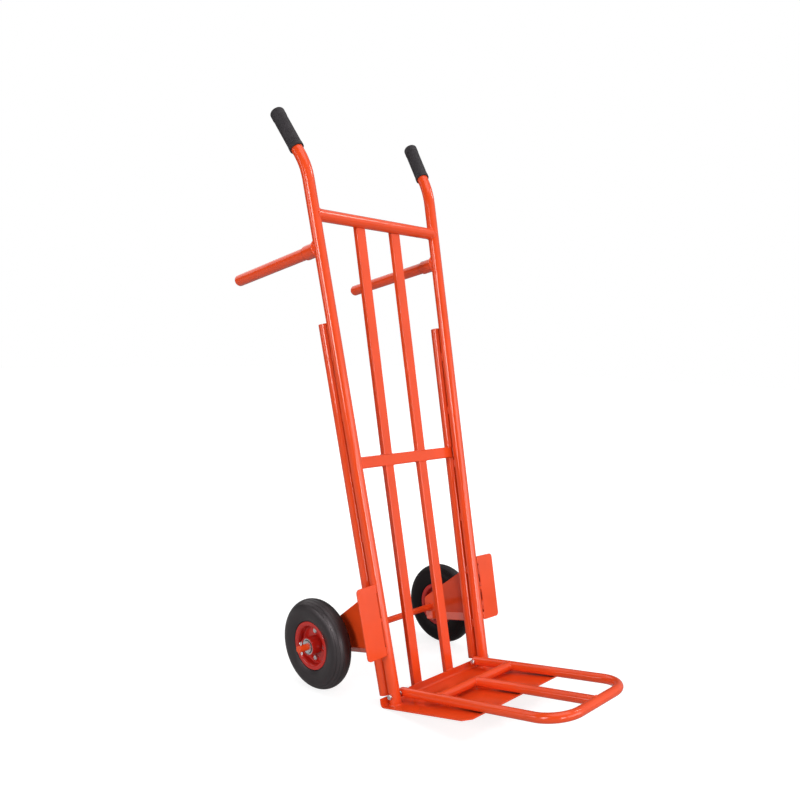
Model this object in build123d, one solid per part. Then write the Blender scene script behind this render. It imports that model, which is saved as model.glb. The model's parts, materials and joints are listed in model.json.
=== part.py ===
from build123d import *
import os
from math import acos, asin, atan2, cos, degrees, hypot, radians, sin, sqrt, tan

# Hand cart: splayed tube rails, a back of flat tubes, two wheels and a toe plate with a folding extension.
# Sizes are in millimetres and degrees. The cart is drawn square to its toe plate: X runs across it with
# left at +X, -Y points to the toe and Z runs up from the underside of the toe plate, with the feet of the
# rails at Y = 0. At the end the whole cart leans back until its tyres and its heel stand on one floor.

# Gaps between pieces
weld_gap = 0.2
run_gap = 0.3
seat_gap = 0.05

# Rails, splayed apart and bent back and outward at the top
rail_od = 25.0
rail_wall = 2.0
rail_foot_spacing = 288.8
rail_splay = 1.8
rail_bend_at = 1121.5
rail_bend_radius = 140.0
rail_top_back = 22.2
rail_top_out = 6.2

# Rubber grips on the tops of the rails
grip_gap = 13.6
grip_length = 93.5
grip_wall = 2.4
grip_end_wall = 4.0
grip_end_round = 4.0
grip_band_height = 8.0
grip_cap_height = 16.0
grip_band_proud = 0.6
grip_end_play = 1.0

# Top cross tube
top_tube_below_bend = 98.5
top_tube_od = 25.0
top_tube_wall = 2.0
cope_tip = 3.0

# Flat tubes of the back
mid_bar_at = 512.0
mid_bar_behind = 2.0
bar_width = 25.0
bar_depth = 12.5
bar_wall = 1.5
bar_corner = 2.5
bar_spacing = 104.0
bar_foot = 10.0

# Rear stays, welded behind the lower rails
stay_od = 25.0
stay_wall = 2.0
stay_lift = 2.5
stay_top_gap = 0.5
stay_foot_gap = 3.5
stay_top_below_handle = 150.0

# Rear handles in their sockets
handle_below_top_tube = 68.0
handle_od = 25.0
handle_wall = 2.0
handle_reach = 300.0
handle_rise = 2.0
handle_end_round = 9.0
handle_inset = 2.0
socket_wall = 2.3
socket_reach = 43.0

# Toe plate with its bent-up heel flange
plate_t = 3.0
plate_front = 220.0
plate_side_margin = 12.0
plate_corner = 15.5
heel_clear = 0.5
heel_radius = 8.0
flange_height = 19.0

# Folding toe extension and its hinge
hinge_z = 22.0
ext_od = 20.0
ext_wall = 1.5
ext_reach = 400.0
ext_corner_radius = 60.0
ext_cross_at = 101.0
ext_plug = 12.0
hinge_bolt_d = 6.0
hinge_fit = 0.075
hinge_head_af = 10.0
hinge_head_h = 4.0
hinge_nut_h = 5.0
hinge_washer_od = 12.0
hinge_washer_t = 1.6
bolt_tip = 2.0
head_slope = 30.0
head_face_share = 0.95

# Guard plates in front of the wheels
guard_t = 3.0
guard_back = 7.5
guard_reach = 63.0
guard_bottom = 111.0
guard_height = 150.0
guard_corner = 8.5
guard_inner_corner = 3.0
guard_slot_length = 52.0
guard_slot_depth = 2.5
guard_slot_margin = 18.5

# Axle and wheel brackets
axle_y = 163.2
axle_z = 137.5
axle_d = 15.0
axle_stub = 23.0
bracket_t = 3.0
bracket_rear_margin = 19.5
bracket_rise = 115.0
bracket_rear_rise = 23.0
bracket_corner = 12.0
bracket_fold_drop = 12.0
lip_clear = 1.0
lip_length = 21.0
lip_angle = 45.0
lip_radius = 3.0
lip_trim = 15.0

# Wheel spacers, washers and split pins
spacer_length = 11.0
axle_washer_od = 26.5
axle_washer_t = 2.0
pin_d = 3.6
pin_inset = 8.0
pin_hole_clear = 0.3
pin_eye_d = 7.0
pin_wire = 2.0
pin_leg = 5.0

# Wheels: tyre, split pressed rim, hub and ball bearings
tyre_od = 200.0
tyre_width = 48.0
tyre_wall = 5.0
bead_width = 7.0
bead_corner = 3.4
cavity_angle = 45.0
groove_angles = (34.0, 52.0, 70.0)
groove_width = 1.3
groove_depth = 0.6
rim_width = 38.0
rim_t = 2.5
rim_seat_d = 89.0
rim_lip_d = 106.6
rim_bend = 3.0
rim_lip_round = 1.1
lip_cover = 1.2
hub_length = 53.4
hub_wall = 2.5
hub_shoulder = 2.5
bearing_od = 35.0
bearing_width = 11.0
bearing_recess = 1.0
outer_ring_wall = 2.7
inner_ring_wall = 2.8
seal_t = 1.0
seal_recess = 0.6
seal_clear = 0.5
rim_bolt_d = 6.0
rim_bolt_circle = 62.0
rim_bolt_count = 4
rim_bolt_turn = 12.0
rim_bolt_af = 10.0
rim_bolt_head_h = 4.0
rim_nut_h = 5.0
rim_bolt_clear = 0.2

on_base = (Align.CENTER, Align.CENTER, Align.MIN)
under_top = (Align.CENTER, Align.CENTER, Align.MAX)


def rod(start, end, radius):
    """Solid round bar between two points."""
    run = Vector(end) - Vector(start)
    return Plane(origin=start, z_dir=run) * Cylinder(radius, run.length, align=on_base)


def tube(start, end, od, wall):
    """Straight round tube between two points."""
    return rod(start, end, od / 2) - rod(start, end, od / 2 - wall)


def ring(outer_r, inner_r, length):
    """Round sleeve that stands on the XY plane."""
    return Cylinder(outer_r, length, align=on_base) - Cylinder(inner_r, length, align=on_base)


def flat_tube(width, depth):
    """Section of the flat tubes of the back."""
    hollow = RectangleRounded(width - 2 * bar_wall, depth - 2 * bar_wall, bar_corner - bar_wall)
    return RectangleRounded(width, depth, bar_corner) - hollow


def hex_head(across_flats, height):
    """Bolt head or nut that stands on the XY plane, with the corners of its top turned off."""
    face_r = head_face_share * across_flats / 2
    corner_r = across_flats / 2 / cos(radians(30))
    turned_drop = (corner_r - face_r) * tan(radians(head_slope))
    turned = make_face(
        Polyline(
            (0, 0),
            (corner_r, 0),
            (corner_r, height - turned_drop),
            (face_r, height),
            (0, height),
            close=True,
        )
    )
    block = extrude(RegularPolygon(across_flats / 2, 6, major_radius=False), amount=height)
    return block & revolve(Plane.XZ * turned, Axis.Z)


def corner_of(sketch, point):
    """Vertex of a sketch that is nearest a point."""
    return sketch.vertices().sort_by_distance(point)[0]


def other_side(pieces):
    """The same pieces on the right side of the cart."""
    return [mirror(piece, about=Plane.YZ) for piece in pieces]


# Lines that the left half of the frame is set out on
rail_r = rail_od / 2
splay = radians(rail_splay)
rail_dir = Vector(sin(splay), 0, cos(splay))
out_dir = Vector(cos(splay), 0, -sin(splay))
back = radians(rail_top_back)
out = radians(rail_top_out)
top_dir = Vector(sin(out), sin(back) * cos(out), cos(back) * cos(out))
top_tube_at = rail_bend_at - top_tube_below_bend
handle_at = top_tube_at - handle_below_top_tube
stay_top = handle_at - stay_top_below_handle
stay_foot = flange_height + stay_lift
stay_beside = rail_r + stay_od / 2


def on_rail(along, behind=0.0):
    """Point beside the left rail's axis, at a length along it from the floor of the toe plate."""
    return Vector(rail_foot_spacing / 2, behind, 0) + rail_dir * along


def rail_x(height):
    """How far the left rail's axis stands from the middle at a height."""
    return rail_foot_spacing / 2 + height * tan(splay)


rail_core = rod(on_rail(-rail_od), on_rail(rail_bend_at), rail_r + weld_gap)
stay_low = on_rail(stay_foot, stay_beside + stay_foot_gap)
stay_high = on_rail(stay_top, stay_beside + stay_top_gap)
stay_core = rod(stay_low, stay_high, stay_od / 2 + weld_gap)

# Rail: a tube cut flat on the toe plate and bent once near its top
bend_turn = radians(rail_dir.get_angle(top_dir))
bend_tangent = rail_bend_radius * tan(bend_turn / 2)
grip_start = bend_tangent + grip_gap
rail_top_length = grip_start + grip_length - grip_end_wall - grip_end_play
bend_corner = on_rail(rail_bend_at)
rail_end = bend_corner + top_dir * rail_top_length
rail_path = FilletPolyline(on_rail(-rail_od), bend_corner, rail_end, radius=rail_bend_radius)
rail_section = Plane(origin=on_rail(-rail_od), z_dir=rail_dir)
rail = sweep(rail_section * Circle(rail_r), path=rail_path)
rail -= sweep(rail_section * Circle(rail_r - rail_wall), path=rail_path)
rail -= Pos(rail_x(0), 0, plate_t) * Box(3 * rail_od, 3 * rail_od, 3 * rail_od, align=under_top)
hinge_bore_r = hinge_bolt_d / 2 + hinge_fit
rail -= rod((rail_x(hinge_z) - rail_od, 0, hinge_z), (rail_x(hinge_z) + rail_od, 0, hinge_z), hinge_bore_r)

# Grip: a closed rubber sleeve with a raised band at its mouth and a raised round-edged cap
grip_bore_r = rail_r + seat_gap
grip_r = grip_bore_r + grip_wall
grip_band_r = grip_r + grip_band_proud
grip_cap_z = grip_length - grip_cap_height
grip_outline = make_face(
    Polyline(
        (0, 0),
        (grip_band_r, 0),
        (grip_band_r, grip_band_height),
        (grip_r, grip_band_height + grip_band_proud),
        (grip_r, grip_cap_z - grip_band_proud),
        (grip_band_r, grip_cap_z),
        (grip_band_r, grip_length),
        (0, grip_length),
        close=True,
    )
)
grip_outline = fillet(corner_of(grip_outline, (grip_band_r, grip_length)), grip_end_round)
grip = revolve(Plane.XZ * grip_outline, Axis.Z)
grip -= Cylinder(grip_bore_r, grip_length - grip_end_wall, align=on_base)
grip = Plane(origin=bend_corner + top_dir * grip_start, z_dir=top_dir) * grip

# Top cross tube, coped to the rails
top_z = on_rail(top_tube_at).Z
top_half = rail_x(top_z) - cope_tip
top_tube = tube((-top_half, 0, top_z), (top_half, 0, top_z), top_tube_od, top_tube_wall)
top_tube = top_tube - rail_core - mirror(rail_core, about=Plane.YZ)
top_tube_core = rod((-top_half, 0, top_z), (top_half, 0, top_z), top_tube_od / 2 + weld_gap)

# Rear stay: a tube with open ends behind the lower rail, a little farther from it at its foot
stay = tube(stay_low, stay_high, stay_od, stay_wall)

# Back: its bars lean from behind the heel flange to the middle cross bar and on to the top cross tube
heel_y = rail_r + heel_clear
flange_back = heel_y + heel_radius
back_foot_y = flange_back + weld_gap
mid_front = rail_r + mid_bar_behind
back_top_y = top_tube_od / 2 - bar_depth
lower_run = Vector(0, mid_front - back_foot_y, mid_bar_at - flange_height)
upper_run = Vector(0, back_top_y - mid_front, top_z - mid_bar_at)
lower_plane = Plane(origin=(0, back_foot_y, flange_height), x_dir=(1, 0, 0), z_dir=lower_run)
upper_plane = Plane(origin=(0, mid_front, mid_bar_at), x_dir=(1, 0, 0), z_dir=upper_run)

# Middle cross bar, coped between the stays behind the rails
mid_half = rail_x(mid_bar_at) - cope_tip
mid_centre = (0, mid_front + bar_depth / 2, mid_bar_at)
mid_plane = Plane(origin=mid_centre, x_dir=(0, 1, 0), z_dir=(1, 0, 0))
mid_bar = extrude(mid_plane * flat_tube(bar_depth, bar_width), amount=mid_half, both=True)
for core in (rail_core, stay_core):
    mid_bar = mid_bar - core - mirror(core, about=Plane.YZ)
mid_core = Pos(mid_centre) * Box(rail_foot_spacing, 4 * bar_depth, bar_width + 2 * weld_gap)


def back_bar(plane, low, high):
    """Upright flat tube of the left half of the back, between two lengths up its plane."""
    section = Pos(bar_spacing / 2, bar_depth / 2, low) * flat_tube(bar_width, bar_depth)
    return plane * extrude(section, amount=high - low)


lower_bar = back_bar(lower_plane, bar_foot - flange_height, lower_run.length) - mid_core
upper_bar = back_bar(upper_plane, 0, upper_run.length) - mid_core - top_tube_core

# Rear handle: a tube with a closed round end, pushed into a socket that is coped to the rail
handle_dir = Vector(0, cos(radians(handle_rise)), sin(radians(handle_rise)))
handle_foot = on_rail(handle_at)
handle_start = rail_r + weld_gap + handle_inset
handle_plane = Plane(origin=handle_foot + handle_dir * handle_start, x_dir=(1, 0, 0), z_dir=handle_dir)
handle_length = handle_reach - handle_start
handle = Cylinder(handle_od / 2, handle_length, align=on_base)
handle = fillet(handle.edges().sort_by(Axis.Z)[-1], handle_end_round)
handle -= Cylinder(handle_od / 2 - handle_wall, handle_length - handle_end_round, align=on_base)
handle = handle_plane * handle
socket_bore = handle_od / 2 + seat_gap
socket_end = handle_foot + handle_dir * socket_reach
socket = tube(handle_foot, socket_end, 2 * (socket_bore + socket_wall), socket_wall) - rail_core

# Toe plate: a sheet with chamfered front corners and a round heel bent up into a flange
plate_half = rail_foot_spacing / 2 + rail_r + plate_side_margin
plate_outline = make_face(
    Polyline(
        (-plate_front, 0),
        (flange_back, 0),
        (flange_back, flange_height),
        (flange_back - plate_t, flange_height),
        (flange_back - plate_t, plate_t),
        (-plate_front, plate_t),
        close=True,
    )
)
plate_outline = fillet(corner_of(plate_outline, (flange_back, 0)), heel_radius)
plate_outline = fillet(corner_of(plate_outline, (flange_back - plate_t, plate_t)), heel_radius - plate_t)
toe_plate = extrude(Plane.YZ * plate_outline, amount=plate_half, both=True)
toe_plate = chamfer(toe_plate.edges().filter_by(Axis.Z).group_by(Axis.Y)[0], plate_corner)

# Toe extension: its arms slope down from the hinge bolts until they lie over the front of the toe plate
ext_r = ext_od / 2
washer_x = rail_x(hinge_z - hinge_washer_od / 2) - rail_r / cos(splay) - weld_gap
arm_x = washer_x - hinge_washer_t - run_gap - ext_r
rest_drop = hinge_z - plate_t - run_gap
ext_slope = atan2(rest_drop, plate_front) - asin(ext_r / hypot(rest_drop, plate_front))
ext_dir = Vector(0, -cos(ext_slope), -sin(ext_slope))
ext_up = Vector(0, -sin(ext_slope), cos(ext_slope))
ext_plane = Plane(origin=(0, 0, hinge_z), x_dir=(1, 0, 0), z_dir=ext_up)


def on_ext(across, ahead):
    """Point on the middle plane of the toe extension, at a length ahead of its hinge."""
    return Vector(across, 0, hinge_z) + ext_dir * ahead


def bow_path(first):
    """Centre line of the bow, from one arm to the other, that starts at a length ahead of the hinge."""
    return FilletPolyline(
        on_ext(arm_x, first),
        on_ext(arm_x, ext_reach),
        on_ext(-arm_x, ext_reach),
        on_ext(-arm_x, first),
        radius=ext_corner_radius,
    )


bow = sweep(Plane(origin=on_ext(arm_x, 0), z_dir=ext_dir) * Circle(ext_r), path=bow_path(0))
bow_hollow = Plane(origin=on_ext(arm_x, ext_plug), z_dir=ext_dir) * Circle(ext_r - ext_wall)
bow -= sweep(bow_hollow, path=bow_path(ext_plug))
for side in (1, -1):
    bow += Pos(side * arm_x, 0, hinge_z) * Sphere(ext_r)
for side in (1, -1):
    eye_end = Vector(side * (arm_x + ext_od), 0, hinge_z)
    eye_start = Vector(side * (arm_x - ext_od), 0, hinge_z)
    bow -= rod(eye_start, eye_end, hinge_bore_r)
arm_core = rod(on_ext(arm_x, 0), on_ext(arm_x, ext_reach), ext_r + weld_gap)
front_core = rod(on_ext(-arm_x, ext_reach), on_ext(arm_x, ext_reach), ext_r + weld_gap)
cross_half = arm_x - cope_tip
cross_tube = tube(on_ext(-cross_half, ext_cross_at), on_ext(cross_half, ext_cross_at), ext_od, ext_wall)
cross_tube = cross_tube - arm_core - mirror(arm_core, about=Plane.YZ)
cross_core = rod(on_ext(-cross_half, ext_cross_at), on_ext(cross_half, ext_cross_at), ext_r + weld_gap)
middle_tube = tube(on_ext(0, ext_cross_at + cope_tip), on_ext(0, ext_reach - cope_tip), ext_od, ext_wall)
middle_tube = middle_tube - cross_core - front_core

# Hinge bolt, washer and nut, from the outside of the left rail to the inside of the left arm
head_x = rail_x(hinge_z + hinge_head_af / 2) + rail_r / cos(splay) + weld_gap
nut_x = arm_x - ext_r - run_gap
hinge_inward = Plane(origin=(head_x, 0, hinge_z), x_dir=(0, 1, 0), z_dir=(-1, 0, 0))
hinge_bolt = Cylinder(hinge_bolt_d / 2, head_x - nut_x + hinge_nut_h + bolt_tip, align=on_base)
hinge_bolt += Rot(180, 0, 0) * hex_head(hinge_head_af, hinge_head_h)
hinge_bolt = hinge_inward * hinge_bolt
hinge_nut = hex_head(hinge_head_af, hinge_nut_h)
hinge_nut -= Cylinder(hinge_bolt_d / 2 + seat_gap, hinge_nut_h, align=on_base)
hinge_nut = hinge_inward * Pos(0, 0, head_x - nut_x) * hinge_nut
hinge_washer = ring(hinge_washer_od / 2, hinge_bore_r, hinge_washer_t)
hinge_washer = hinge_inward * Pos(0, 0, head_x - washer_x) * hinge_washer

# Guard plate: a sheet with round corners, welded along the front of the rail on both sides of two slots
guard_in = sqrt((rail_r + weld_gap) ** 2 - guard_back ** 2)
guard_plane = Plane(origin=on_rail(guard_bottom, -guard_back), x_dir=out_dir, z_dir=(0, -1, 0))
guard_outline = make_face(
    Polyline(
        (guard_in, 0),
        (guard_reach, 0),
        (guard_reach, guard_height),
        (guard_in, guard_height),
        close=True,
    )
)
for level in (0, guard_height):
    guard_outline = fillet(corner_of(guard_outline, (guard_reach, level)), guard_corner)
    guard_outline = fillet(corner_of(guard_outline, (guard_in, level)), guard_inner_corner)
for slot_low in (guard_slot_margin, guard_height - guard_slot_margin - guard_slot_length):
    slot = Rectangle(2 * guard_slot_depth, guard_slot_length, align=(Align.CENTER, Align.MIN))
    guard_outline -= Pos(guard_in, slot_low) * slot
guard = extrude(guard_plane * guard_outline, amount=guard_t)

# Wheel bracket: a side sheet along the rail and stay, from the back of the guard plate to behind the axle,
# with its lower edge folded inward
bracket_off = max(rail_od, stay_od) / 2 + weld_gap
bracket_front = weld_gap - guard_back
fold_z = axle_z - bracket_fold_drop
bracket_rear = axle_y + bracket_rear_margin
bend_half = tan(radians(lip_angle) / 2)
sheet_low = fold_z + lip_radius * bend_half
bracket_plane = Plane(origin=on_rail(0) + out_dir * bracket_off, x_dir=(0, 1, 0), z_dir=out_dir)
bracket_outline = make_face(
    Polyline(
        (bracket_front, sheet_low),
        (bracket_rear, sheet_low),
        (bracket_rear, axle_z + bracket_rear_rise),
        (bracket_front, axle_z + bracket_rise),
        close=True,
    )
)
bracket_outline = fillet(corner_of(bracket_outline, (bracket_rear, axle_z + bracket_rear_rise)), bracket_corner)
bracket = extrude(bracket_plane * bracket_outline, amount=bracket_t)
lip_start = stay_beside + stay_foot_gap + stay_od / 2 + lip_clear
lip_in = Vector(-sin(radians(lip_angle)), -cos(radians(lip_angle)))
lip_face = Vector(cos(radians(lip_angle)), -sin(radians(lip_angle)))
fold_inner = Vector(0, fold_z)
fold_outer = Vector(bracket_t, fold_z - bracket_t * bend_half)
lip_tip = fold_inner + lip_in * lip_length
lip_outline = make_face(
    Polyline(
        (0, axle_z),
        fold_inner,
        lip_tip,
        lip_tip + lip_face * bracket_t,
        fold_outer,
        (bracket_t, axle_z),
        close=True,
    )
)
lip_outline = fillet(corner_of(lip_outline, fold_inner), lip_radius)
lip_outline = fillet(corner_of(lip_outline, fold_outer), lip_radius + bracket_t)
lip_origin = on_rail(0, bracket_rear) + out_dir * bracket_off
lip_plane = Plane(origin=lip_origin, x_dir=out_dir, z_dir=(0, -1, 0))
lip = extrude(lip_plane * lip_outline, amount=bracket_rear - lip_start)
lip_normal = out_dir * lip_face.X + rail_dir * lip_face.Y
trim_plane = Plane(origin=lip_origin + rail_dir * fold_z, x_dir=(0, -1, 0), z_dir=lip_normal)
trim = make_face(Polyline((0, 0), (2 * lip_trim, 2 * lip_length), (0, 2 * lip_length), close=True))
lip -= extrude(trim_plane * trim, amount=2 * bracket_t, both=True)
bracket += lip
axle_r = axle_d / 2
bracket -= rod((0, axle_y, axle_z), (2 * rail_foot_spacing, axle_y, axle_z), axle_r + weld_gap)

# Places along the axle, from the bracket out to the tip
inner_ring_r = axle_r + seat_gap + inner_ring_wall
spacer_x = rail_x(axle_z + inner_ring_r) + (bracket_off + bracket_t) / cos(splay) + weld_gap
bearing_x = hub_length / 2 - bearing_recess
wheel_x = spacer_x + spacer_length + seat_gap + bearing_x
washer_out_x = wheel_x + bearing_x + seat_gap
axle_half = washer_out_x + axle_washer_t + axle_stub
pin_x = axle_half - pin_inset
axle_out = Plane(origin=(0, axle_y, axle_z), x_dir=(0, 1, 0), z_dir=(1, 0, 0))
axle = rod((-axle_half, axle_y, axle_z), (axle_half, axle_y, axle_z), axle_r)
for side in (1, -1):
    pin_low = (side * pin_x, axle_y, axle_z - axle_d)
    pin_high = (side * pin_x, axle_y, axle_z + axle_d)
    axle -= rod(pin_low, pin_high, pin_d / 2 + pin_hole_clear)
spacer = axle_out * Pos(0, 0, spacer_x) * ring(inner_ring_r, axle_r + seat_gap, spacer_length)
axle_washer = ring(axle_washer_od / 2, axle_r + seat_gap, axle_washer_t)
axle_washer = axle_out * Pos(0, 0, washer_out_x) * axle_washer
pin_eye_z = axle_r + pin_eye_d / 2 + weld_gap
pin_length = pin_leg + axle_d + weld_gap + pin_wire
split_pin = Pos(0, 0, -axle_r - pin_leg) * Cylinder(pin_d / 2, pin_length, align=on_base)
split_pin += Pos(0, 0, pin_eye_z) * Rot(90, 0, 0) * Torus((pin_eye_d - pin_wire) / 2, pin_wire / 2)
split_pin = Pos(pin_x, axle_y, axle_z) * split_pin

# Tyre: round crown, side walls drawn in to the rim, fine tread grooves and an air space
crown_r = tyre_width / 2
crown_y = tyre_od / 2 - crown_r
crown_centre = Vector(0, crown_y)
bead_y = rim_seat_d / 2 + weld_gap
bead_x = rim_width / 2 - rim_t - weld_gap
lip_y = rim_lip_d / 2 + weld_gap
wall_foot = Vector(rim_width / 2 + weld_gap, lip_y + lip_cover)
groove_half = degrees(groove_width / 2 / crown_r)
cavity_r = crown_r - tyre_wall


def on_crown(angle, radius):
    """Point of the tyre's section, at an angle from its side wall and a radius from the crown's centre."""
    return crown_centre + Vector(cos(radians(angle)), sin(radians(angle))) * radius


def groove(angle):
    """Edges of a tread groove round an angle of the crown."""
    return Polyline(
        on_crown(angle - groove_half, crown_r),
        on_crown(angle - groove_half / 2, crown_r - groove_depth),
        on_crown(angle + groove_half / 2, crown_r - groove_depth),
        on_crown(angle + groove_half, crown_r),
    )


right_wall = [
    Polyline(
        on_crown(-cavity_angle, cavity_r),
        (bead_x - bead_width, bead_y),
        (bead_x - bead_corner, bead_y),
        (bead_x, bead_y + bead_corner),
        (bead_x, lip_y),
        wall_foot,
    ),
    TangentArc(on_crown(0, crown_r), wall_foot, tangent=(0, -1)),
]
land_start = 0.0
for angle in groove_angles:
    right_wall.append(CenterArc(crown_centre, crown_r, land_start, angle - groove_half - land_start))
    right_wall.append(groove(angle))
    land_start = angle + groove_half
right_wall.append(CenterArc(crown_centre, crown_r, land_start, 90 - land_start))
left_wall = [mirror(line, about=Plane.YZ) for line in right_wall]
cavity_top = CenterArc(crown_centre, cavity_r, -cavity_angle, 180 + 2 * cavity_angle)
tyre = revolve(make_face(right_wall + left_wall + [cavity_top]), Axis.X)

# Rim half: a pressed disc with a seat for the tyre's bead and a rolled flange
hub_r = bearing_od / 2 + hub_wall
rim_half_w = rim_width / 2
seat_r = rim_seat_d / 2
lip_r = rim_lip_d / 2
rim_outline = make_face(
    Polyline(
        (0, hub_r + weld_gap),
        (rim_t, hub_r + weld_gap),
        (rim_t, seat_r - rim_t),
        (rim_half_w, seat_r - rim_t),
        (rim_half_w, lip_r),
        (rim_half_w - rim_t, lip_r),
        (rim_half_w - rim_t, seat_r),
        (0, seat_r),
        close=True,
    )
)
for inner_corner in ((rim_t, seat_r - rim_t), (rim_half_w - rim_t, seat_r)):
    rim_outline = fillet(corner_of(rim_outline, inner_corner), rim_bend)
for outer_corner in ((0, seat_r), (rim_half_w, seat_r - rim_t)):
    rim_outline = fillet(corner_of(rim_outline, outer_corner), rim_bend + rim_t)
for lip_corner in ((rim_half_w, lip_r), (rim_half_w - rim_t, lip_r)):
    rim_outline = fillet(corner_of(rim_outline, lip_corner), rim_lip_round)
rim_outer = revolve(rim_outline, Axis.X)


def bolt_circle(piece):
    """Copies of a piece round the wheel's axis, at the places of the rim bolts."""
    step = 360 / rim_bolt_count
    return [Rot(rim_bolt_turn + step * index, 0, 0) * piece for index in range(rim_bolt_count)]


bolt_z = rim_bolt_circle / 2
for hole in bolt_circle(rod((-rim_t, 0, bolt_z), (2 * rim_t, 0, bolt_z), rim_bolt_d / 2 + rim_bolt_clear)):
    rim_outer -= hole
rim_inner = mirror(rim_outer, about=Plane.YZ)
bolt_in = Plane(origin=(rim_t + seat_gap, 0, bolt_z), x_dir=(0, 1, 0), z_dir=(-1, 0, 0))
nut_depth = 2 * (rim_t + seat_gap)
rim_bolt = Cylinder(rim_bolt_d / 2, nut_depth + rim_nut_h + bolt_tip, align=on_base)
rim_bolt += Rot(180, 0, 0) * hex_head(rim_bolt_af, rim_bolt_head_h)
rim_nut = hex_head(rim_bolt_af, rim_nut_h)
rim_nut -= Cylinder(rim_bolt_d / 2 + seat_gap, rim_nut_h, align=on_base)
rim_bolts = bolt_circle(bolt_in * rim_bolt)
rim_nuts = bolt_circle(bolt_in * Pos(0, 0, nut_depth) * rim_nut)

# Hub: a tube bored at each end for a ball bearing
hub_half = hub_length / 2
bearing_r = bearing_od / 2
along_x = Plane(origin=(0, 0, 0), x_dir=(0, 1, 0), z_dir=(1, 0, 0))
hub = Pos(0, 0, -hub_half) * ring(hub_r, bearing_r - hub_shoulder, hub_length)
bearing_seat = bearing_recess + bearing_width + seat_gap
for low in (-hub_half, hub_half - bearing_seat):
    hub -= Pos(0, 0, low) * Cylinder(bearing_r + seat_gap / 2, bearing_seat, align=on_base)
hub = along_x * hub

# Ball bearings: outer ring and seals turn with the wheel, the inner ring stays on the axle
outer_rings = []
inner_rings = []
seals = []
outer_ring_in = bearing_r - outer_ring_wall
for low in (-bearing_x, bearing_x - bearing_width):
    outer_rings.append(along_x * Pos(0, 0, low) * ring(bearing_r, outer_ring_in, bearing_width))
    inner_rings.append(along_x * Pos(0, 0, low) * ring(inner_ring_r, axle_r + seat_gap, bearing_width))
    for seal_low in (low + seal_recess, low + bearing_width - seal_recess - seal_t):
        seal = ring(outer_ring_in - seat_gap, inner_ring_r + seal_clear, seal_t)
        seals.append(along_x * Pos(0, 0, seal_low) * seal)

# Wheel pieces, set on the left end of the axle
wheel_place = Pos(wheel_x, axle_y, axle_z)
wheel = {
    "tyre": [tyre],
    "rim_outer_half": [rim_outer],
    "rim_inner_half": [rim_inner],
    "hub": [hub],
    "bearing_outer_rings": outer_rings,
    "bearing_seals": seals,
    "bearing_inner_rings": inner_rings,
    "rim_bolts": rim_bolts,
    "rim_nuts": rim_nuts,
}
left_half = {name: [wheel_place * piece for piece in pieces] for name, pieces in wheel.items()}
left_half["rail"] = [rail]
left_half["grip"] = [grip]
left_half["upper_bar"] = [upper_bar]
left_half["lower_bar"] = [lower_bar]
left_half["rear_stay"] = [stay]
left_half["rear_handle"] = [handle]
left_half["handle_socket"] = [socket]
left_half["guard_plate"] = [guard]
left_half["wheel_bracket"] = [bracket]

# Every piece of the cart under its name
nodes = {}
for name, pieces in left_half.items():
    nodes["left_" + name] = pieces
    nodes["right_" + name] = other_side(pieces)
nodes["top_cross_tube"] = [top_tube]
nodes["mid_cross_bar"] = [mid_bar]
nodes["toe_plate"] = [toe_plate]
nodes["extension_bow"] = [bow]
nodes["extension_cross_tube"] = [cross_tube]
nodes["extension_middle_tube"] = [middle_tube]
nodes["axle"] = [axle]
pairs = {
    "hinge_bolts": hinge_bolt,
    "hinge_washers": hinge_washer,
    "hinge_nuts": hinge_nut,
    "axle_spacers": spacer,
    "axle_washers": axle_washer,
    "split_pins": split_pin,
}
for name, piece in pairs.items():
    nodes[name] = [piece] + other_side([piece])

# Lean: the cart tips back about X until the round heel and the tyres reach the same floor
heel_to_axle_y = axle_y - heel_y
heel_to_axle_z = axle_z - heel_radius
heel_to_axle = hypot(heel_to_axle_y, heel_to_axle_z)
lean = acos((tyre_od / 2 - heel_radius) / heel_to_axle) - atan2(heel_to_axle_y, heel_to_axle_z)
tipped = Rot(-degrees(lean), 0, 0)

# Place: the origin is on the floor, under the middle of the cart
boxes = [(tipped * piece).bounding_box() for pieces in nodes.values() for piece in pieces]
front_y = min(box.min.Y for box in boxes)
rear_y = max(box.max.Y for box in boxes)
floor_z = heel_radius * (cos(lean) - 1) - heel_y * sin(lean)
stand = Pos(0, -(front_y + rear_y) / 2, -floor_z) * tipped

os.makedirs("parts", exist_ok=True)
for name, pieces in nodes.items():
    placed = [stand * piece for piece in pieces]
    solids = [solid for piece in placed for solid in piece.solids()]
    export_step(Compound(solids), "parts/" + name + ".step")

print("lean", round(degrees(lean), 3))
print("depth", round(rear_y - front_y, 1), "height", round(max(box.max.Z for box in boxes) - floor_z, 1))
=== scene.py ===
import json
import math
from random import Random

import bpy
from mathutils import Matrix, Vector


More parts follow.
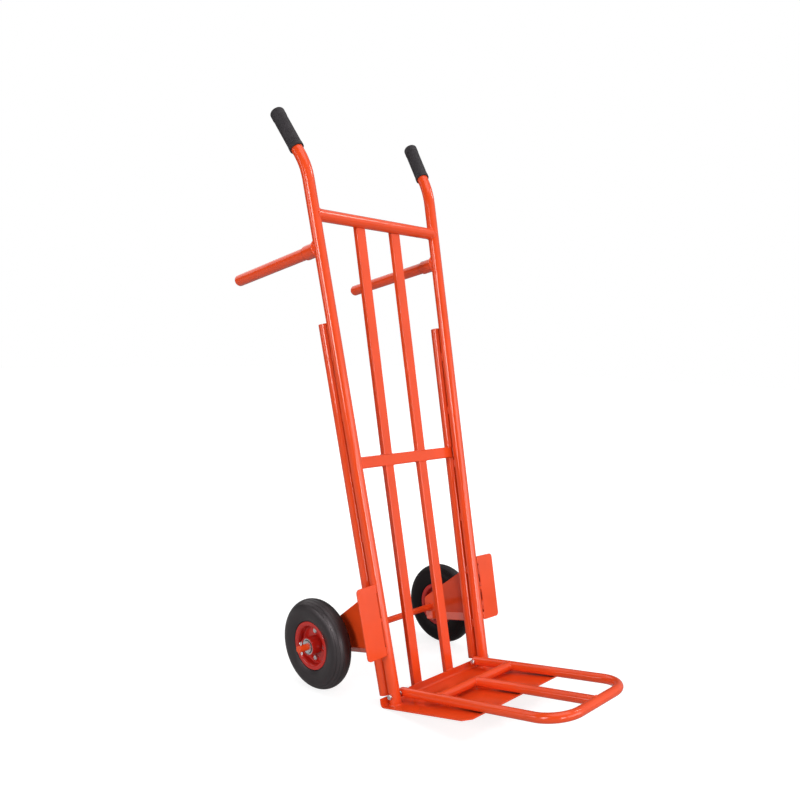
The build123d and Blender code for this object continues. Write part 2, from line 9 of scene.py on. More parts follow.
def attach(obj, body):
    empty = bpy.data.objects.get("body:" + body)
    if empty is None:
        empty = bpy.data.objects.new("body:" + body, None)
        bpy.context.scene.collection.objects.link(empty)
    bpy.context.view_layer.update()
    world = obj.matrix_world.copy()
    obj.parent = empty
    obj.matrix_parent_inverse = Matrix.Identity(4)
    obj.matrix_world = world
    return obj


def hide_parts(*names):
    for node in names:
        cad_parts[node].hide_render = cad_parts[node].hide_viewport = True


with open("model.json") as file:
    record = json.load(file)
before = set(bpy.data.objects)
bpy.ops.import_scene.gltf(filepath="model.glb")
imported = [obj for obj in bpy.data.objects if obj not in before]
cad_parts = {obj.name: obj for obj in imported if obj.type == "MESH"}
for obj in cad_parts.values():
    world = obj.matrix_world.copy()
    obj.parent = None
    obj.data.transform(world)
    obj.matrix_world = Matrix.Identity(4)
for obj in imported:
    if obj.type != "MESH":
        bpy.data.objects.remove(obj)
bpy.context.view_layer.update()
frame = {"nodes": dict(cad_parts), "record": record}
MM = 0.001

# Sizes of the solids that the welds and the grips follow
rail_r = 12.5 * MM
rail_foot_spacing = 288.8 * MM
rail_splay = math.radians(1.8)
rail_bend_at = 1121.5 * MM
rail_bend_radius = 140.0 * MM
rail_top_back = math.radians(22.2)
rail_top_out = math.radians(6.2)
top_tube_at = rail_bend_at - 98.5 * MM
handle_at = top_tube_at - 68.0 * MM
handle_rise = math.radians(2.0)
socket_r = 14.85 * MM
stay_top = handle_at - 150.0 * MM
stay_foot = 21.5 * MM
stay_top_gap = 0.5 * MM
stay_foot_gap = 3.5 * MM
mid_bar_at = 512.0 * MM
mid_front = 14.5 * MM
bar_width = 25.0 * MM
bar_depth = 12.5 * MM
bar_spacing = 104.0 * MM
flange_height = 19.0 * MM
flange_back = 21.0 * MM
plate_t = 3.0 * MM
plate_front = 220.0 * MM
hinge_z = 22.0 * MM
ext_r = 10.0 * MM
ext_reach = 400.0 * MM
ext_cross_at = 101.0 * MM
arm_x = 120.3 * MM
rest_gap = 0.3 * MM
axle_y = 163.2 * MM
axle_z = 137.5 * MM
axle_r = 7.5 * MM
guard_back = 7.5 * MM
guard_t = 3.0 * MM
guard_bottom = 111.0 * MM
guard_height = 150.0 * MM
guard_slot_margin = 18.5 * MM
guard_slot_length = 52.0 * MM
bracket_off = 12.7 * MM
bracket_front = 0.2 * MM - guard_back
bracket_rise = 115.0 * MM
bracket_drop = 12.0 * MM
grip_gap = 13.6 * MM
grip_length = 93.5 * MM
grip_r = 14.95 * MM
grip_bore_r = 12.55 * MM
grip_band_r = 15.55 * MM
grip_band_height = 8.0 * MM
grip_cap_height = 16.0 * MM
grip_end_round = 4.0 * MM

# Photograph's camera, in metres, degrees and pixels of its 800 pixel frame
image_px = 800
camera_azimuth = math.radians(-47.48)
camera_elevation = math.radians(10.69)
camera_roll = math.radians(1.69)
camera_distance = 1.7011
camera_target = Vector((0, -0.0126, 0.4389))
focal_px = 788.1
centre_px = (433.7, 489.6)
sensor_width_mm = 36.0
view_depth = 100.0

# Cart's own frame: its lean and place come from the floor mount, the wheels' planes from a joint
floor_mount = next(m for m in frame["record"]["mounts"] if m["name"] == "floor_face")
lean = math.atan2(-floor_mount["axis"][1], -floor_mount["axis"][2])
to_row = Matrix.Rotation(-lean, 4, "X")
to_row.translation = Vector(floor_mount["pos_m"]) - to_row @ Vector((0, -plate_front / 2, 0))
left_spin = next(j for j in frame["record"]["behaviour"]["joints"] if j["name"] == "left_wheel_spin")
wheel_x = left_spin["pos_m"][0]
across = Vector((1, 0, 0))
rearward = Vector((0, 1, 0))


def place(point):
    """Point of the cart's own frame, in the row frame."""
    return to_row @ Vector(point)


def on_rail(side, along, behind=0.0, out=0.0):
    """Point beside a rail's axis, at a length along it, in the cart's own frame."""
    x = rail_foot_spacing / 2 + along * math.sin(rail_splay) + out * math.cos(rail_splay)
    return Vector((side * x, behind, along * math.cos(rail_splay) - out * math.sin(rail_splay)))


def rail_dir(side):
    """Direction of a rail, upward."""
    return Vector((side * math.sin(rail_splay), 0, math.cos(rail_splay)))


def stay_y(along):
    """How far a stay's axis stands behind its rail's axis, at a length along the rail."""
    share = (along - stay_foot) / (stay_top - stay_foot)
    return 2 * rail_r + stay_foot_gap + (stay_top_gap - stay_foot_gap) * share


# Grain of the surfaces, in features per metre
cloud_grain = 14
speck_grain = 700
wear_grain = 60
gloss_grain = 35
peel_grain = 420
rub_grain = 90
tyre_dust_grain = 28
tyre_polish_grain = 60
tyre_grain = 1400
rubber_cloud_grain = 45
rubber_gloss_grain = 120
grip_grain = 1100
seal_grain = 1600
zinc_spangle = 260
steel_spangle = 400
plating_grain = 1500

# Edges and gaps: how far normals agree on an edge and a face, and the open air in and out of a gap, which
# sets where painted shade darkens the paint in narrow gaps
bevel_samples = 6
edge_agree = 0.86
face_agree = 0.99
gap_samples = 8
gap_reach = 6.0 * MM
gap_closed = 0.15
gap_open = 0.60

# Paint: factors on its colour where it is thick, thin, specked, worn, rubbed or darkened by painted shade
# in a gap, and its film
thick_shade = 0.94
thin_shade = 1.04
speck_shade = 0.88
worn_shade = 1.25
rub_shade = 1.15
painted_gap_shade_factor = 0.25
most_speck = 0.5
speck_from = 0.68
speck_to = 0.80
most_wear = 0.6
rub_from = 0.58
rub_to = 0.74
paint_rough_low = 0.11
paint_rough_high = 0.18
peel_strength = 0.018
peel_height = 0.4 * MM
rub_stretch = (6.0, 0.35, 1.0)
paint_shine = 0.5

# Tyre: roughness and sheen from the sidewall to the shoulder, dust that fades out as painted shade on the
# inner side, grain and mould rings
sidewall_rough = 0.38
shoulder_rough = 0.48
rough_from_r = 76 * MM
rough_to_r = 92 * MM
sidewall_sheen = 0.7
shoulder_sheen = 1.0
sheen_from_r = 80 * MM
sheen_to_r = 94 * MM
inner_sheen = 0.2
sheen_tint = (1.0, 0.88, 0.91, 1)
half_tread = 15 * MM
polish_spread = 0.05
most_dust = 0.55
dust_from = 0.35
dust_to = 0.75
tyre_grain_strength = 0.2
tyre_grain_height = 0.2 * MM
ring_pitch = 1.6 * MM
ring_strength = 0.10
ring_height = 0.08 * MM

# Soft rubber and plating: factors on their colour, roughness, grain and the round of plated edges
rubber_dark = 0.75
rubber_light = 1.3
rubber_rough_low = 0.52
rubber_rough_high = 0.68
rubber_grain_strength = 0.3
rubber_grain_height = 0.25 * MM
rubber_shine = 0.4
plating_dark = 0.86
plating_strength = 0.12
plating_height = 0.1 * MM
plating_edge = 0.5 * MM


# Shader nodes
def new_material(name):
    """Material with a node tree, its tree and its main shader."""
    material = bpy.data.materials.new(name)
    material.use_nodes = True
    tree = material.node_tree
    return material, tree, tree.nodes["Principled BSDF"]


def add_node(tree, kind, settings=None, **sockets):
    """Node with its settings, and with a plain value or a link for each named socket."""
    node = tree.nodes.new(kind)
    for key, value in (settings or {}).items():
        setattr(node, key, value)
    for key, value in sockets.items():
        join(tree, value, node.inputs[key.replace("_", " ")])
    return node


def join(tree, value, socket):
    """Link or plain value into a socket."""
    if isinstance(value, bpy.types.NodeSocket):
        tree.links.new(value, socket)
    else:
        socket.default_value = value


def maths(tree, operation, first, second=0.0):
    """Value of a sum, product or other operation."""
    node = add_node(tree, "ShaderNodeMath", {"operation": operation})
    join(tree, first, node.inputs[0])
    join(tree, second, node.inputs[1])
    return node.outputs[0]


def vector_maths(tree, operation, first, second=(0, 0, 0)):
    """Node of a vector operation."""
    node = add_node(tree, "ShaderNodeVectorMath", {"operation": operation})
    join(tree, first, node.inputs[0])
    join(tree, second, node.inputs[1])
    return node


def noise(tree, scale, detail, stretch=None, roughness=0.5):
    """Value of a noise in the row frame, where scale counts features per metre."""
    coords = add_node(tree, "ShaderNodeTexCoord").outputs["Object"]
    if stretch:
        coords = add_node(tree, "ShaderNodeMapping", Vector=coords, Scale=stretch).outputs["Vector"]
    texture = add_node(tree, "ShaderNodeTexNoise",
                       Vector=coords, Scale=scale, Detail=detail, Roughness=roughness)
    return texture.outputs["Fac"]


def spread(tree, value, low, high, start=0.3, end=0.7):
    """Value carried from a start and an end to a low and a high."""
    node = add_node(tree, "ShaderNodeMapRange",
                    Value=value, From_Min=start, From_Max=end, To_Min=low, To_Max=high)
    return node.outputs["Result"]


def blend(tree, value, first, second):
    """Colour between two colours, by a value from 0 to 1."""
    node = add_node(tree, "ShaderNodeMix", {"data_type": "RGBA"}, Factor=value)
    for socket, colour in zip((node.inputs[6], node.inputs[7]), (first, second)):
        join(tree, colour if isinstance(colour, bpy.types.NodeSocket) else (*colour, 1), socket)
    return node.outputs[2]


def bump(tree, height, strength, distance, normal=None):
    """Normal that follows a height."""
    node = add_node(tree, "ShaderNodeBump", Height=height, Strength=strength, Distance=distance)
    if normal:
        tree.links.new(normal, node.inputs["Normal"])
    return node.outputs["Normal"]


def rounded(tree, radius):
    """Normal with sharp edges rounded."""
    return add_node(tree, "ShaderNodeBevel", {"samples": bevel_samples}, Radius=radius).outputs["Normal"]


def edges(tree, soft_normal):
    """Value that grows along sharp edges, where the rounded normal leaves the flat one."""
    flat_normal = add_node(tree, "ShaderNodeNewGeometry").outputs["Normal"]
    agree = vector_maths(tree, "DOT_PRODUCT", soft_normal, flat_normal).outputs["Value"]
    return spread(tree, agree, 1.0, 0.0, edge_agree, face_agree)


def painted_gap_shade_mask(tree):
    """Mask of painted shade: a value that grows in narrow gaps, where little of the open air is seen."""
    settings = {"samples": gap_samples}
    open_air = add_node(tree, "ShaderNodeAmbientOcclusion", settings, Distance=gap_reach).outputs["AO"]
    return spread(tree, open_air, 1.0, 0.0, gap_closed, gap_open)


def shade(colour, factor):
    """Colour made lighter or darker."""
    return tuple(min(channel * factor, 1.0) for channel in colour)


def paint(name, colour, edge=0.9 * MM, rub=0.0):
    """Sprayed paint: a clouded film, thin on edges, darkened by painted shade in narrow gaps and rubbed
    where a load slides.
    """
    material, tree, shader = new_material(name)
    soft_normal = rounded(tree, edge)
    cloud = spread(tree, noise(tree, cloud_grain, detail=4), 0, 1)
    tone = blend(tree, cloud, shade(colour, thick_shade), shade(colour, thin_shade))
    speck = spread(tree, noise(tree, speck_grain, detail=2), 0, most_speck, speck_from, speck_to)
    tone = blend(tree, speck, tone, shade(colour, speck_shade))
    patches = spread(tree, noise(tree, wear_grain, detail=3), 0.0, most_wear)
    worn = maths(tree, "MULTIPLY", edges(tree, soft_normal), patches)
    tone = blend(tree, worn, tone, shade(colour, worn_shade))
    # Painted shade: the colour is darkened in narrow gaps and crevices between parts, where shade falls
    tone = blend(tree, painted_gap_shade_mask(tree), tone, shade(colour, painted_gap_shade_factor))
    gloss = spread(tree, noise(tree, gloss_grain, detail=3), paint_rough_low, paint_rough_high)
    if rub:
        marks = noise(tree, rub_grain, detail=3, stretch=rub_stretch, roughness=0.6)
        marks = spread(tree, marks, 0, rub, rub_from, rub_to)
        tone = blend(tree, marks, tone, shade(colour, rub_shade))
        gloss = maths(tree, "ADD", gloss, marks)
    tree.links.new(tone, shader.inputs["Base Color"])
    tree.links.new(gloss, shader.inputs["Roughness"])
    peel = bump(tree, noise(tree, peel_grain, detail=2), peel_strength, peel_height, soft_normal)
    tree.links.new(peel, shader.inputs["Normal"])
    shader.inputs["Specular IOR Level"].default_value = paint_shine
    return material


def wheel_radius(tree):
    """Distance from the axle's line."""
    coords = add_node(tree, "ShaderNodeTexCoord").outputs["Object"]
    centred = vector_maths(tree, "SUBTRACT", coords, place((0, axle_y, axle_z))).outputs[0]
    flat = vector_maths(tree, "MULTIPLY", centred, (0, 1, 1)).outputs[0]
    return vector_maths(tree, "LENGTH", flat).outputs["Value"]


def wheel_outward(tree):
    """Value that grows across a wheel, from the side by the bracket to the outer side."""
    coords = add_node(tree, "ShaderNodeTexCoord").outputs["Object"]
    across_cart = vector_maths(tree, "DOT_PRODUCT", coords, across).outputs["Value"]
    from_middle = maths(tree, "ABSOLUTE", across_cart)
    return spread(tree, from_middle, 0.0, 1.0, wheel_x - half_tread, wheel_x + half_tread)


def tyre_rubber():
    """Moulded tyre rubber: mould rings, a dusty bloom that fades out towards the side by the bracket as
    painted shade, a grain, a shiny shoulder and a dull inner side.
    """
    material, tree, shader = new_material("tyre_rubber")
    black = (0.0080, 0.0062, 0.0068)
    bloom = (0.016, 0.0125, 0.0136)
    outward = wheel_outward(tree)
    dust_and_inner_shade = spread(tree, noise(tree, tyre_dust_grain, detail=4), 0.0, most_dust, dust_from, dust_to)
    # Painted shade: the bloom fades out towards the side by the bracket, so the tyre's inner side renders
    # blacker
    dust_and_inner_shade = maths(tree, "MULTIPLY", dust_and_inner_shade, outward)
    tree.links.new(blend(tree, dust_and_inner_shade, black, bloom), shader.inputs["Base Color"])
    radius = wheel_radius(tree)
    uneven = spread(tree, noise(tree, tyre_polish_grain, detail=3), -polish_spread, polish_spread)
    polish = spread(tree, radius, sidewall_rough, shoulder_rough, rough_from_r, rough_to_r)
    tree.links.new(maths(tree, "ADD", polish, uneven), shader.inputs["Roughness"])
    rings = maths(tree, "SINE", maths(tree, "MULTIPLY", radius, 2 * math.pi / ring_pitch))
    grain = bump(tree, noise(tree, tyre_grain, detail=3), tyre_grain_strength, tyre_grain_height)
    tree.links.new(bump(tree, rings, ring_strength, ring_height, grain), shader.inputs["Normal"])
    sheen = spread(tree, radius, sidewall_sheen, shoulder_sheen, sheen_from_r, sheen_to_r)
    sheen = maths(tree, "MULTIPLY", sheen, spread(tree, outward, inner_sheen, 1.0, 0.0, 1.0))
    tree.links.new(sheen, shader.inputs["Specular IOR Level"])
    shader.inputs["Specular Tint"].default_value = sheen_tint
    return material


def soft_rubber(name, colour, grain_scale):
    """Matt rubber with a fine grain."""
    material, tree, shader = new_material(name)
    cloud = spread(tree, noise(tree, rubber_cloud_grain, detail=4), 0, 1)
    tone = blend(tree, cloud, shade(colour, rubber_dark), shade(colour, rubber_light))
    tree.links.new(tone, shader.inputs["Base Color"])
    gloss = spread(tree, noise(tree, rubber_gloss_grain, detail=2), rubber_rough_low, rubber_rough_high)
    tree.links.new(gloss, shader.inputs["Roughness"])
    grain = bump(tree, noise(tree, grain_scale, detail=3), rubber_grain_strength, rubber_grain_height)
    tree.links.new(grain, shader.inputs["Normal"])
    shader.inputs["Specular IOR Level"].default_value = rubber_shine
    return material


def plated(name, colour, spangle, rough_low, rough_high):
    """Plated or ground steel with an uneven sheen."""
    material, tree, shader = new_material(name)
    flakes = spread(tree, noise(tree, spangle, detail=3), 0, 1)
    tone = blend(tree, flakes, shade(colour, plating_dark), colour)
    tree.links.new(tone, shader.inputs["Base Color"])
    gloss = spread(tree, noise(tree, spangle * 2, detail=2), rough_low, rough_high)
    tree.links.new(gloss, shader.inputs["Roughness"])
    soft_normal = rounded(tree, plating_edge)
    grain = bump(tree, noise(tree, plating_grain, detail=2), plating_strength, plating_height, soft_normal)
    tree.links.new(grain, shader.inputs["Normal"])
    shader.inputs["Metallic"].default_value = 1.0
    return material


orange = (0.845, 0.073, 0.013)
rim_red = (0.520, 0.017, 0.011)
grip_black = (0.019, 0.015, 0.018)
seal_black = (0.012, 0.012, 0.013)
zinc_white = (0.80, 0.81, 0.83)
steel_white = (0.83, 0.84, 0.86)
paint_material = paint("orange_paint", orange)
plate_material = paint("orange_paint_rubbed", orange, rub=0.04)
materials = {
    "orange_paint": paint_material,
    "dark_red_paint": paint("dark_red_paint", rim_red, edge=0.6 * MM),
    "tyre_rubber": tyre_rubber(),
    "grip_rubber": soft_rubber("grip_rubber", grip_black, grip_grain),
    "zinc": plated("zinc", zinc_white, zinc_spangle, rough_low=0.22, rough_high=0.40),
    "bearing_steel": plated("bearing_steel", steel_white, steel_spangle, rough_low=0.16, rough_high=0.28),
    "seal_rubber": soft_rubber("seal_rubber", seal_black, seal_grain),
}
for part in frame["record"]["subparts"]:
    node = frame["nodes"][part["node"]]
    node.data.materials.clear()
    node.data.materials.append(materials[part["material_slot"]])
frame["nodes"]["toe_plate"].data.materials[0] = plate_material


def new_piece(name, vertices, faces, body, slot_name):
    """Smooth mesh piece that rides on a body, with the material of a slot."""
    mesh = bpy.data.meshes.new(name)
    mesh.from_pydata(vertices, [], faces)
    mesh.validate()
    mesh.update()
    for polygon in mesh.polygons:
        polygon.use_smooth = True
    piece = bpy.data.objects.new(name, mesh)
    bpy.context.scene.collection.objects.link(piece)
    mesh.materials.append(materials[slot_name])
    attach(piece, body)
    return piece


# Weld beads: rippled ropes of metal along the lines where pieces meet
bead_r = 2.0 * MM
foot_bead_r = 2.4 * MM
socket_bead_r = 3.0 * MM
stay_bead_r = 2.8 * MM
thin_bead_r = 1.8 * MM
bar_bead_r = 1.3 * MM
bead_step = 0.75 * MM
bead_sides = 10
ripple_pitch = 2.3 * MM
ripple_depth = 0.13
ripple_middle = 0.6
ripple_spread = 0.03
least_end = 0.02
least_steps = 6
least_length = 1e-9
beads = Random(7)


def resample(points, closed):
    """Points of a line at even steps, and the line's length."""
    line = list(points) + ([points[0]] if closed else [])
    lengths = [0.0]
    for a, b in zip(line, line[1:]):
        lengths.append(lengths[-1] + (b - a).length)
    count = max(least_steps, round(lengths[-1] / bead_step))
    even = []
    spot = 0
    for index in range(count if closed else count + 1):
        goal = lengths[-1] * index / count
        while spot < len(line) - 2 and lengths[spot + 1] < goal:
            spot += 1
        share = (goal - lengths[spot]) / max(lengths[spot + 1] - lengths[spot], least_length)
        even.append(line[spot].lerp(line[spot + 1], min(share, 1.0)))
    return even, lengths[-1]


def bead_mesh(points, closed, radius):
    """Vertices and faces of one bead along a line of the cart's own frame."""
    centres, length = resample(points, closed)
    count = len(centres)
    phase = beads.uniform(0, 1)
    vertices, faces = [], []
    side = None
    for index, centre in enumerate(centres):
        ahead = centres[(index + 1) % count] if closed or index < count - 1 else centre
        behind = centres[index - 1] if closed or index else centre
        along = (ahead - behind).normalized()
        side = side or along.orthogonal()
        side = (side - along * side.dot(along)).normalized()
        other = along.cross(side)
        turn = index * length / count / ripple_pitch + phase
        ripple = 1 + ripple_depth * (abs(math.sin(math.pi * turn)) - ripple_middle)
        ripple *= 1 + beads.uniform(-ripple_spread, ripple_spread)
        if not closed:
            end = min(index, count - 1 - index) * length / count
            ripple *= math.sqrt(max(1 - (1 - min(end / radius, 1)) ** 2, least_end))
        for spoke in range(bead_sides):
            angle = 2 * math.pi * spoke / bead_sides
            offset = side * math.cos(angle) + other * math.sin(angle)
            vertices.append(place(centre + offset * radius * ripple))
    for ring in range(count if closed else count - 1):
        start, end = ring * bead_sides, (ring + 1) % count * bead_sides
        for spoke in range(bead_sides):
            step = (spoke + 1) % bead_sides
            faces.append((start + spoke, start + step, end + step, end + spoke))
    if not closed:
        faces.append(tuple(range(bead_sides))[::-1])
        faces.append(tuple(range((count - 1) * bead_sides, count * bead_sides)))
    return vertices, faces


def weld(name, lines, body="frame", radius=bead_r):
    """Piece with one bead along each line, where a line is its points and whether it closes."""
    vertices, faces = [], []
    for points, closed in lines:
        bead_vertices, bead_faces = bead_mesh(points, closed, radius)
        base = len(vertices)
        vertices += bead_vertices
        faces += [tuple(base + index for index in face) for face in bead_faces]
    new_piece(name, vertices, faces, body, "orange_paint")


def saddle(joint, main_dir, main_r, direction, branch_r, least=0.0, count=72):
    """Line where a round branch that leaves a joint meets a main tube, at a least length from its axis."""
    main_dir = main_dir.normalized()
    direction = direction.normalized()
    first = (main_dir - direction * main_dir.dot(direction)).normalized()
    second = direction.cross(first)
    points = []
    for index in range(count):
        angle = 2 * math.pi * index / count
        gap = (first * math.cos(angle) + second * math.sin(angle)) * branch_r
        spoke = joint + gap
        gap -= main_dir * gap.dot(main_dir)
        slope = direction - main_dir * direction.dot(main_dir)
        a, b, c = slope.dot(slope), gap.dot(slope), gap.dot(gap) - main_r ** 2
        reach = (-b + math.sqrt(max(b * b - a * c, 0))) / a
        points.append(spoke + direction * max(reach, least))
    return points


def circle(centre, first, second, radius, count=60):
    """Round line about a centre."""
    turns = [2 * math.pi * index / count for index in range(count)]
    return [centre + (first * math.cos(turn) + second * math.sin(turn)) * radius for turn in turns]


def stitches(start, end, count, share):
    """Short lines spread along a line, as intermittent welds."""
    lines = []
    half = share / count / 2
    for index in range(count):
        middle = (index + 0.5) / count
        lines.append(([start.lerp(end, middle - half), start.lerp(end, middle + half)], False))
    return lines


def rectangle(middle, width, depth):
    """Outline of a flat tube's end, from the middle of its front edge."""
    corners = [(-0.5, 0), (0.5, 0), (0.5, 1), (-0.5, 1)]
    return [middle + across * (width * u) + rearward * (depth * v) for u, v in corners]


# Welds of the frame
top_tube_inset = 0.25 * MM
coped_r = rail_r - top_tube_inset
bar_weld_inset = 0.6 * MM
bar_weld_back = 1.0 * MM
mid_bar_in = 3.0 * MM
socket_weld_at = 8.0 * MM
stay_seam_out = 3.0 * MM
stay_seam_low = 20 * MM
stay_seam_high = 5 * MM
stay_stitches = 6
stay_stitch_share = 0.16
bracket_stitches = 3
bracket_stitch_share = 0.6
end_inset = 2 * MM
guard_front_in = 3.4 * MM
guard_back_in = 1.6 * MM
guard_edges = ((guard_back + guard_t, rail_r - guard_front_in), (guard_back, rail_r - guard_back_in))
guard_bridge = guard_height - 2 * (guard_slot_margin + guard_slot_length)
guard_tabs = (
    (end_inset, guard_slot_margin),
    (guard_slot_margin + guard_slot_length, guard_slot_margin + guard_slot_length + guard_bridge),
    (guard_height - guard_slot_margin, guard_height - end_inset),
)
sides = {"left": 1, "right": -1}
for label, side in sides.items():
    foot = on_rail(side, plate_t / math.cos(rail_splay))
    weld(f"weld_{label}_rail_foot", [(circle(foot, across, rearward, rail_r), True)], radius=foot_bead_r)

    joint = on_rail(side, top_tube_at)
    top_line = saddle(joint, rail_dir(side), rail_r, -side * across, coped_r)
    weld(f"weld_{label}_top_tube", [(top_line, True)])

    joint = on_rail(side, handle_at)
    handle_dir = Vector((0, math.cos(handle_rise), math.sin(handle_rise)))
    socket_line = saddle(joint, rail_dir(side), rail_r, handle_dir, socket_r, least=socket_weld_at)
    weld(f"weld_{label}_socket", [(socket_line, True)], radius=socket_bead_r)

    beside = []
    for out in (-stay_seam_out, stay_seam_out):
        low = on_rail(side, stay_foot + stay_seam_low, stay_y(stay_foot) / 2, out)
        high = on_rail(side, stay_top - stay_seam_high, stay_y(stay_top) / 2, out)
        beside += stitches(low, high, stay_stitches, stay_stitch_share)
    weld(f"weld_{label}_stay", beside, radius=stay_bead_r)

    tabs = []
    for ahead, out in guard_edges:
        for low, high in guard_tabs:
            ends = [on_rail(side, guard_bottom + along, -ahead, out) for along in (low, high)]
            tabs.append((ends, False))
    weld(f"weld_{label}_guard", tabs)

    top_edge = on_rail(side, axle_z + bracket_rise - end_inset, bracket_front, bracket_off)
    low_edge = on_rail(side, axle_z - bracket_drop, bracket_front, bracket_off)
    weld(f"weld_{label}_bracket", stitches(low_edge, top_edge, bracket_stitches, bracket_stitch_share))

    eye_x = rail_foot_spacing / 2 + axle_z * math.tan(rail_splay) + bracket_off
    eye = circle(Vector((side * eye_x, axle_y, axle_z)), rearward, Vector((0, 0, 1)), axle_r)
    weld(f"weld_{label}_axle", [(eye, True)], radius=thin_bead_r)

    bar_foot = Vector((side * bar_spacing / 2, flange_back + bar_weld_back, flange_height))
    foot_line = [bar_foot - across * (bar_width / 2), bar_foot + across * (bar_width / 2)]
    weld(f"weld_{label}_bar_foot", [(foot_line, False)], radius=thin_bead_r)
    outlines = []
    for level in (-bar_width / 2, bar_width / 2):
        middle = Vector((side * bar_spacing / 2, mid_front + bar_weld_inset, mid_bar_at + level))
        outline = rectangle(middle, bar_width - 2 * bar_weld_inset, bar_depth - 2 * bar_weld_inset)
        outlines.append((outline, True))
    weld(f"weld_{label}_bar_middle", outlines, radius=bar_bead_r)

    mid_end = on_rail(side, mid_bar_at, mid_front, -mid_bar_in)
    half = rail_dir(side) * (bar_width / 2)
    weld(f"weld_{label}_mid_bar", [([mid_end - half, mid_end + half], False)], radius=thin_bead_r)

# Welds of the toe extension
rest_drop = hinge_z - plate_t - rest_gap
ext_slope = math.atan2(rest_drop, plate_front) - math.asin(ext_r / math.hypot(rest_drop, plate_front))
ext_dir = Vector((0, -math.cos(ext_slope), -math.sin(ext_slope)))
ext_inset = 0.2 * MM
ext_branch_r = ext_r - ext_inset


def on_ext(out, ahead):
    """Point on the middle plane of the toe extension."""
    return Vector((out, 0, hinge_z)) + ext_dir * ahead


joints = []
for side in sides.values():
    arm = on_ext(side * arm_x, ext_cross_at)
    joints.append((saddle(arm, ext_dir, ext_r, -side * across, ext_branch_r), True))
joints.append((saddle(on_ext(0, ext_cross_at), across, ext_r, ext_dir, ext_branch_r), True))
joints.append((saddle(on_ext(0, ext_reach), across, ext_r, -ext_dir, ext_branch_r), True))
weld("weld_extension", joints, body="toe_extension", radius=thin_bead_r)

# Grips: rubber sleeves with a plain mouth band, a plain cap and a diamond pattern between
diamonds_around = 30
diamond_pitch = 3.6 * MM
diamond_height = 0.45 * MM
diamond_slope = 1.6
pattern_gap = 0.6 * MM
pattern_fade = 1.0 * MM
pattern_sink = 0.3 * MM
mouth_edge = ((0.0, 0.5 * MM), (0.2 * MM, 0.15 * MM), (0.6 * MM, 0.0))
band_edge = 0.3 * MM
cap_edge = 0.5 * MM
grip_spokes = 240
grip_row = 0.45 * MM
arc_rows = 14


def grip_profile():
    """Rows of the grip from its mouth to its end: height, radius and share of pattern."""
    rows = [(0.0, grip_bore_r, 0)]
    rows += [(height, grip_band_r - drop, 0) for height, drop in mouth_edge]
    rows.append((grip_band_height - band_edge, grip_band_r, 0))
    cap = grip_length - grip_cap_height
    low = grip_band_height + pattern_gap
    high = cap - pattern_gap
    count = round((high - low) / grip_row)
    for index in range(count + 1):
        height = low + (high - low) * index / count
        edge = min(height - low, high - height)
        rows.append((height, grip_r - pattern_sink, min(edge / pattern_fade, 1.0)))
    rows += [(cap, grip_band_r, 0), (cap + cap_edge, grip_band_r, 0)]
    end_r = grip_band_r - grip_end_round
    for index in range(arc_rows + 1):
        angle = math.pi / 2 * index / arc_rows
        height = grip_length - grip_end_round + grip_end_round * math.sin(angle)
        rows.append((height, end_r + grip_end_round * math.cos(angle), 0))
    rows.append((grip_length, end_r / 2, 0))
    return rows


def grip_piece(label, side):
    """Detailed grip in the place of the solid one."""
    out, rise = math.sin(rail_top_out), math.cos(rail_top_out)
    top_dir = Vector((side * out, math.sin(rail_top_back) * rise, math.cos(rail_top_back) * rise))
    bend = rail_dir(side).angle(top_dir)
    start = rail_bend_radius * math.tan(bend / 2) + grip_gap
    origin = on_rail(side, rail_bend_at) + top_dir * start
    first = top_dir.orthogonal().normalized()
    second = top_dir.cross(first)
    vertices, faces = [], []
    rows = grip_profile()
    for height, radius, pattern in rows:
        climb = 2 * math.pi * height / diamond_pitch
        for spoke in range(grip_spokes):
            angle = 2 * math.pi * spoke / grip_spokes
            turn = diamonds_around * angle
            wave = math.cos((turn + climb) / 2) * math.cos((turn - climb) / 2)
            reach = radius + pattern * diamond_height * min(abs(wave) * diamond_slope, 1.0)
            offset = first * math.cos(angle) + second * math.sin(angle)
            vertices.append(place(origin + top_dir * height + offset * reach))
    for row in range(len(rows) - 1):
        low, high = row * grip_spokes, (row + 1) * grip_spokes
        for spoke in range(grip_spokes):
            step = (spoke + 1) % grip_spokes
            faces.append((low + spoke, low + step, high + step, high + spoke))
    faces.append(tuple(range((len(rows) - 1) * grip_spokes, len(rows) * grip_spokes)))
    piece = new_piece(f"{label}_grip_sleeve", vertices, faces, "frame", "grip_rubber")
    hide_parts(f"{label}_grip")


for label, side in sides.items():
    grip_piece(label, side)


def background_glow(tree, fill, mirrored, shown):
    """Strength of the background: for the light it gives, for its mirrored views and where it shows."""
    rays = add_node(tree, "ShaderNodeLightPath").outputs
    strength = spread(tree, rays["Is Glossy Ray"], fill, mirrored, 0.0, 1.0)
    straight = maths(tree, "MAXIMUM", rays["Is Camera Ray"], rays["Is Transmission Ray"])
    return spread(tree, straight, strength, shown, 0.0, 1.0)


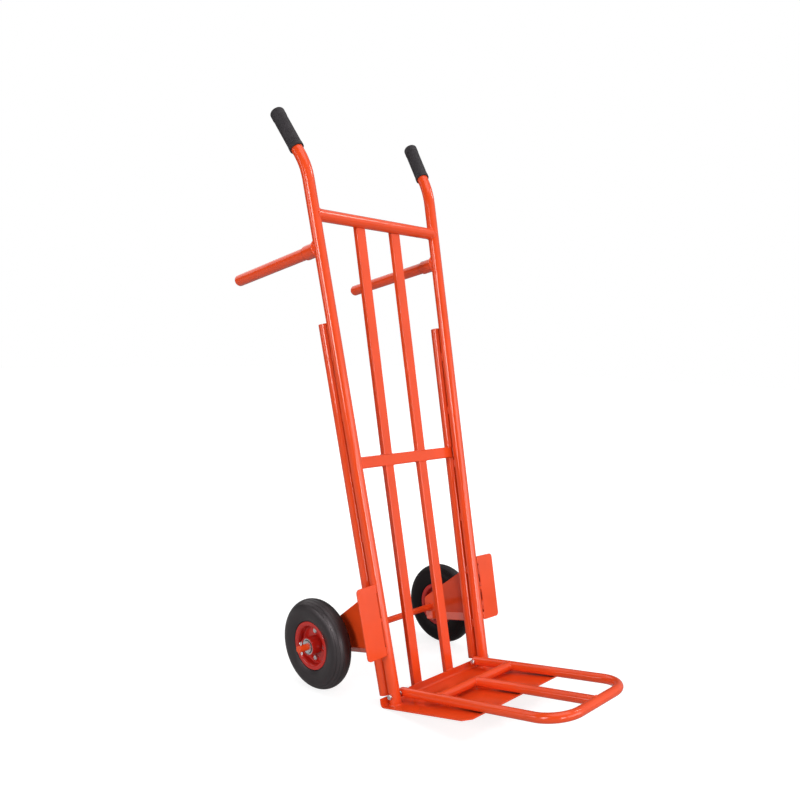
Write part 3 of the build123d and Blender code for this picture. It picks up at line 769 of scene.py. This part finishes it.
# Floor: grey and matt, with a glow that shows it white but for the cart's shadow
floor_half = 15.0
shadow_reach = 0.6
shadow_end = 1.6
near_glow = 0.80
mirrored_glow = 0.1
floor_grey = 0.38
floor_rough = 0.8
floor_shine = 0.1
floor_mesh = bpy.data.meshes.new("floor")
corners = [(-floor_half, -floor_half, 0), (floor_half, -floor_half, 0), (floor_half, floor_half, 0),
           (-floor_half, floor_half, 0)]
floor_mesh.from_pydata(corners, [], [(0, 1, 2, 3)])
floor = bpy.data.objects.new("floor", floor_mesh)
bpy.context.scene.collection.objects.link(floor)
floor_material, tree, shader = new_material("floor")
shader.inputs["Base Color"].default_value = (floor_grey, floor_grey, floor_grey, 1)
shader.inputs["Roughness"].default_value = floor_rough
shader.inputs["Specular IOR Level"].default_value = floor_shine
shader.inputs["Emission Color"].default_value = (1, 1, 1, 1)
spot = add_node(tree, "ShaderNodeTexCoord").outputs["Object"]
from_cart = vector_maths(tree, "LENGTH", spot).outputs["Value"]
glow = spread(tree, from_cart, near_glow, 1.0, shadow_reach, shadow_end)
tree.links.new(background_glow(tree, 0.0, mirrored_glow, glow), shader.inputs["Emission Strength"])
floor_mesh.materials.append(floor_material)

# World: white where the background shows, and else a pale wall ahead of the cart that fades to the rear
wall_azimuth = math.radians(40)
wall_ahead = 0.8
wall_behind = 0.06
wall_full = 0.9
world = bpy.data.worlds.new("studio")
bpy.context.scene.world = world
world.use_nodes = True
tree = world.node_tree
background = tree.nodes["Background"]
background.inputs["Color"].default_value = (1, 1, 1, 1)
heading = add_node(tree, "ShaderNodeTexCoord").outputs["Generated"]
wall_dir = (math.sin(wall_azimuth), -math.cos(wall_azimuth), 0)
facing = vector_maths(tree, "DOT_PRODUCT", heading, wall_dir).outputs["Value"]
wall = spread(tree, facing, wall_behind, wall_ahead, 0.0, wall_full)
tree.links.new(background_glow(tree, wall, wall, 1.0), background.inputs["Strength"])


# Lamps: name, azimuth and elevation in degrees, width and height in metres, and watts
cart_middle = Vector((0, 0, 0.6))
lamp_distance = 4.5
lamps = (
    ("ahead", 11, 7, 3.9, 2.2, 73),
    ("right_of_camera", -24, 3, 0.9, 1.1, 34),
    ("left_of_camera", -82, 16, 1.3, 1.75, 85),
    ("left_rear", -118, 10, 1.4, 1.4, 20),
    ("far_side_high", 56, 44, 0.7, 0.8, 20),
    ("far_rear_high", 118, 62, 2.2, 2.2, 14),
    ("behind", 180, 32, 5.0, 2.8, 52),
    ("above", -20, 80, 3.8, 3.8, 72),
)


def soft_box(name, azimuth, elevation, wide, tall, watts):
    """Rectangular area lamp that faces the cart, where azimuth 0 is straight ahead of the toe."""
    turn, rise = math.radians(azimuth), math.radians(elevation)
    out = Vector((math.sin(turn) * math.cos(rise), -math.cos(turn) * math.cos(rise), math.sin(rise)))
    data = bpy.data.lights.new(name, "AREA")
    data.shape = "RECTANGLE"
    data.size = wide
    data.size_y = tall
    data.energy = watts
    lamp = bpy.data.objects.new(name, data)
    bpy.context.scene.collection.objects.link(lamp)
    lamp.location = cart_middle + out * lamp_distance
    lamp.rotation_mode = "QUATERNION"
    lamp.rotation_quaternion = (-out).to_track_quat("-Z", "Y")


for lamp_values in lamps:
    soft_box(*lamp_values)

# Camera at the photograph's place
camera_back = Vector((math.sin(camera_azimuth) * math.cos(camera_elevation),
                      -math.cos(camera_azimuth) * math.cos(camera_elevation),
                      math.sin(camera_elevation)))
camera_data = bpy.data.cameras.new("camera")
camera = bpy.data.objects.new("camera", camera_data)
bpy.context.scene.collection.objects.link(camera)
camera.location = camera_target + camera_back * camera_distance
camera.rotation_mode = "QUATERNION"
level = (-camera_back).to_track_quat("-Z", "Y")
camera.rotation_quaternion = level @ Matrix.Rotation(camera_roll, 3, "Z").to_quaternion()
camera_data.sensor_width = sensor_width_mm
camera_data.lens = focal_px / image_px * sensor_width_mm
camera_data.shift_x = (image_px / 2 - centre_px[0]) / image_px
camera_data.shift_y = (centre_px[1] - image_px / 2) / image_px
camera_data.clip_end = view_depth
bpy.context.scene.camera = camera
bpy.context.scene.view_settings.view_transform = "Standard"
